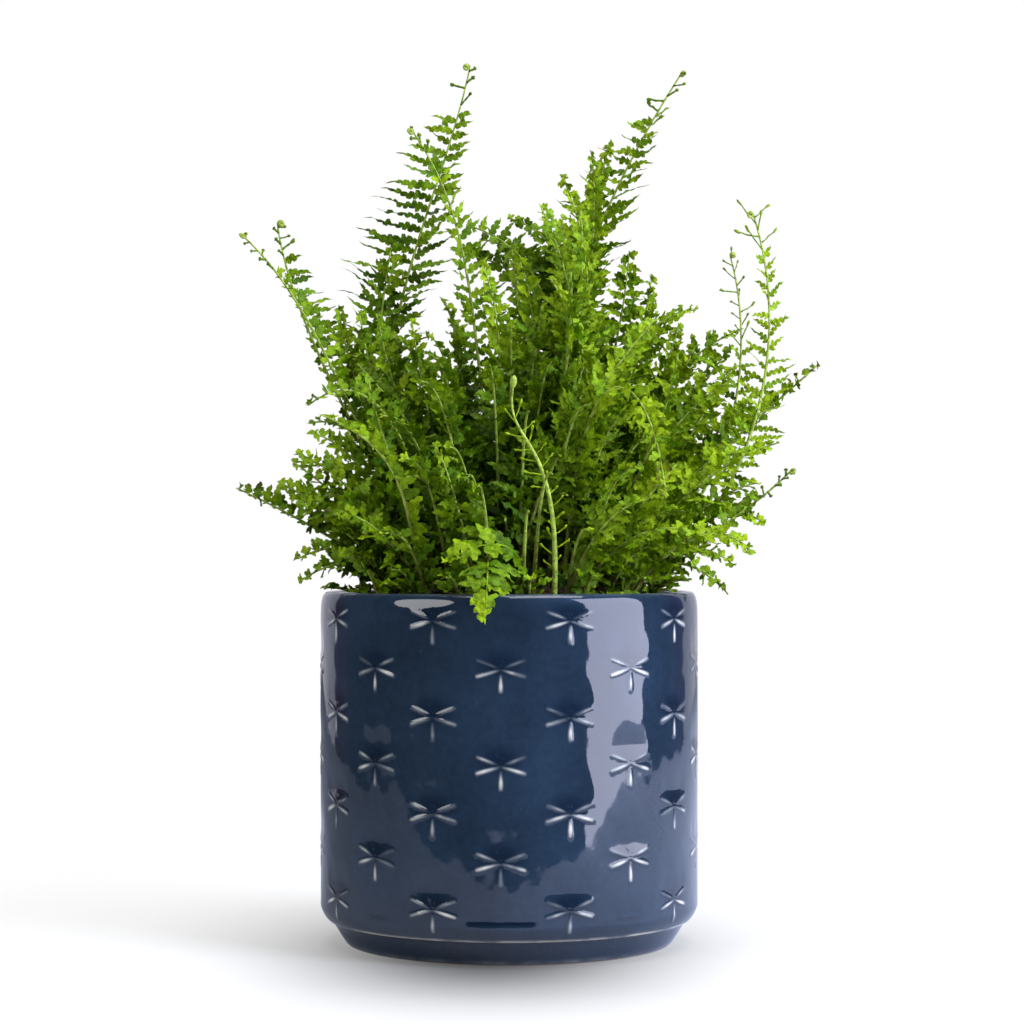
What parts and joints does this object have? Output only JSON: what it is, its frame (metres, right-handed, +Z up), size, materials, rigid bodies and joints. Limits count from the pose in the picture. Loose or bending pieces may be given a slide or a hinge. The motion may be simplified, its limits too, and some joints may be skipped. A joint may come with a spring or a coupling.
{
  "type": "potted fern",
  "caption": "Upright ruffled Boston-type fern of arching pinnate fronds, rooted in soil in a round glazed pot with pressed dragonflies and a stepped foot.",
  "frame": {"origin": "middle of the flat underside of the pot's foot", "axes": "+Z up along the pot's axis; -Y is the front that the picture shows, +X the picture's right"},
  "size_m": [0.2182, 0.1701, 0.3318],
  "materials": {
    "pot": "gloss",
    "soil": "matte",
    "leaf": "satin",
    "young_leaf": "satin"
  },
  "bodies": {
    "root": {"pot": "pot", "soil": "soil", "frond_arch_front": "leaf", "frond_back_1": "leaf", "frond_back_2": "leaf", "frond_back_3": "leaf", "frond_back_4": "leaf", "frond_back_5": "leaf", "frond_back_low_1": "leaf", "frond_back_low_2": "leaf", "frond_back_low_3": "leaf", "frond_back_low_4": "leaf", "frond_centre_bright": "leaf", "frond_centre_cross": "leaf", "frond_centre_dark": "leaf", "frond_centre_tall": "leaf", "frond_centre_up": "leaf", "frond_cross_back": "leaf", "frond_crown_back": "leaf", "frond_crown_front": "leaf", "frond_front_fill": "leaf", "frond_front_hang": "leaf", "frond_front_leaf": "leaf", "frond_front_low_1": "leaf", "frond_front_low_2": "leaf", "frond_front_right": "leaf", "frond_heart_1": "leaf", "frond_heart_2": "leaf", "frond_heart_3": "leaf", "frond_heart_4": "leaf", "frond_left_arch": "leaf", "frond_left_arm": "leaf", "frond_left_behind": "leaf", "frond_left_dark": "leaf", "frond_left_long": "leaf", "frond_left_low": "leaf", "frond_left_middle": "leaf", "frond_left_point": "leaf", "frond_left_rim": "leaf", "frond_middle_1": "leaf", "frond_middle_2": "leaf", "frond_middle_3": "leaf", "frond_middle_4": "leaf", "frond_middle_5": "leaf", "frond_right_brown": "leaf", "frond_right_dark": "leaf", "frond_right_long": "leaf", "frond_right_low": "leaf", "frond_right_middle": "leaf", "frond_right_rim": "leaf", "frond_right_shelf": "leaf", "frond_right_small": "leaf", "frond_right_upper": "leaf", "frond_right_upright": "leaf", "frond_second_left": "leaf", "frond_tall_left": "leaf", "frond_tall_right": "leaf", "frond_young_front": "young_leaf", "frond_young_right": "young_leaf", "frond_young_tall": "young_leaf"}
  },
  "joints": []
}
